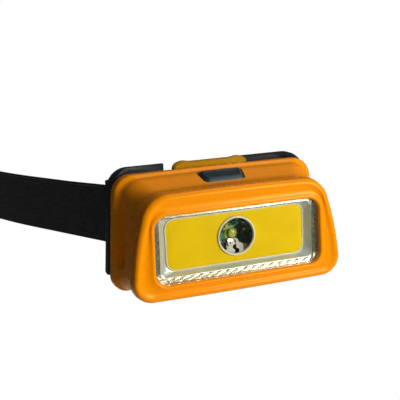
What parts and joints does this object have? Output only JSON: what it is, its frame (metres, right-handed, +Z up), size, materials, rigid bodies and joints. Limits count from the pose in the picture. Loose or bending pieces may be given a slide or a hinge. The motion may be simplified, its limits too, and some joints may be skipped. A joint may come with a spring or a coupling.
{
  "type": "miner's cap lamp",
  "caption": "Head-worn lamp: tilting orange housing with a flood panel and centre spot, top push button, sliding battery door, black bracket with foam pad and elastic webbing.",
  "frame": {"origin": "centre of the forehead pad's rear face, where the lamp rests on the wearer's forehead or cap", "axes": "+Y towards the wearer's head, out of the pad; the light shines towards -Y; +Z up; +X to the right as seen from in front"},
  "size_m": [0.1256, 0.166, 0.0426],
  "materials": {
    "orange_plastic": "glossy moulded ABS",
    "clear_plastic": "clear polycarbonate",
    "black_rubber": "matt silicone rubber",
    "silvered_plastic": "vacuum metallised",
    "board_metal": "white solder mask on aluminium",
    "yellow_phosphor": "satin silicone",
    "pale_ring": "satin",
    "led_package": "matt ceramic with yellow dome",
    "bare_aluminium": "as stamped",
    "zinc_steel": "zinc plated",
    "green_board": "solder mask",
    "chip_black": "matt epoxy",
    "slate_button": "satin",
    "black_plastic": "satin moulded nylon",
    "cell_sleeve": "printed sleeve without marks",
    "nickel": "nickel plated",
    "red_wire": "PVC",
    "black_foam": "closed-cell foam with knit face",
    "black_webbing": "woven elastic"
  },
  "bodies": {
    "bracket": {"bracket": "black_plastic", "hinge_pin": "zinc_steel", "detent_leaf": "zinc_steel", "forehead_pad": "black_foam", "strap_band": "black_webbing"},
    "head": {"front_shell": "orange_plastic", "rear_shell": "orange_plastic", "window_lens": "clear_plastic", "lens_gasket": "black_rubber", "reflector": "silvered_plastic", "cob_board": "board_metal", "cob_phosphor": "yellow_phosphor", "spot_ring": "pale_ring", "spot_reflector": "silvered_plastic", "spot_led": "led_package", "heat_sink": "bare_aluminium", "heat_sink_screws": "zinc_steel", "driver_board": "green_board", "driver_parts": "chip_black", "tact_switch": "chip_black", "button_seal": "black_rubber", "battery_tray": "black_plastic", "battery_cells": "cell_sleeve", "contact_springs": "nickel", "contact_plates": "nickel", "battery_leads": "red_wire", "door_seal": "black_rubber", "housing_screws": "zinc_steel"},
    "button": {"button_cap": "slate_button"},
    "door": {"battery_door": "orange_plastic"},
    "slider": {"strap_slider": "black_plastic"}
  },
  "joints": [
    {"name": "head_tilt", "type": "hinge", "parent": "bracket", "child": "head", "pos_m": [0, -0.0073, -0.019], "axis": [1, 0, 0], "range_deg": [0, 55]},
    {"name": "button_press", "type": "slide", "parent": "head", "child": "button", "axis": [0, 0.342, -0.9397], "range_m": [0, 0.0006], "stiffness_N_per_m": 400, "springref_m": -0.001},
    {"name": "door_slide", "type": "slide", "parent": "head", "child": "door", "axis": [0, 0, 1], "range_m": [0, 0.03]},
    {"name": "slider_shift", "type": "slide", "parent": "bracket", "child": "slider", "axis": [1, 0, 0], "range_m": [-0.01, 0.014]}
  ]
}
